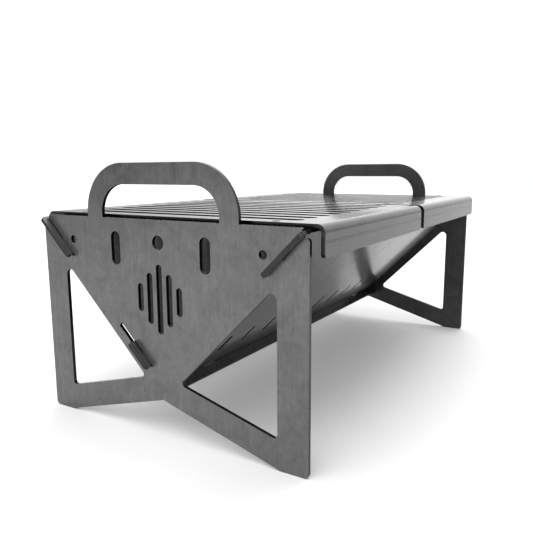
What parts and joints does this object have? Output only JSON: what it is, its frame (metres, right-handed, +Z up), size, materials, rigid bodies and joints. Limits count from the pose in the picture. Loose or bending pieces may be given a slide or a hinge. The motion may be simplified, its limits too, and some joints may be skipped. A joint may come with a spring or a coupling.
{
  "type": "folding camp grill",
  "caption": "Knock-down sheet-steel charcoal grill: V trough hooked between two handled end plates on legs, under two slotted lift-off grates.",
  "frame": {"origin": "on the ground, under the middle of the grill", "axes": "+X across the grill towards the right panel, +Y along the trough from the near to the far end plate, +Z up"},
  "size_m": [0.2664, 0.4452, 0.2126],
  "materials": {
    "plate_steel": "mill-grained steel plate, satin",
    "panel_steel": "brushed steel sheet, semi-gloss",
    "grate_steel": "smooth stainless sheet, semi-gloss"
  },
  "bodies": {
    "frame": {"near_end_plate": "plate_steel", "far_end_plate": "plate_steel", "left_side_panel": "panel_steel", "right_side_panel": "panel_steel"},
    "near_grate": {"near_grate": "grate_steel"},
    "far_grate": {"far_grate": "grate_steel"}
  },
  "joints": [
    {"name": "near_grate_lift", "type": "slide", "parent": "frame", "child": "near_grate", "axis": [0, 0, 1], "range_m": [0, 0.12]},
    {"name": "far_grate_lift", "type": "slide", "parent": "frame", "child": "far_grate", "axis": [0, 0, 1], "range_m": [0, 0.12]}
  ]
}
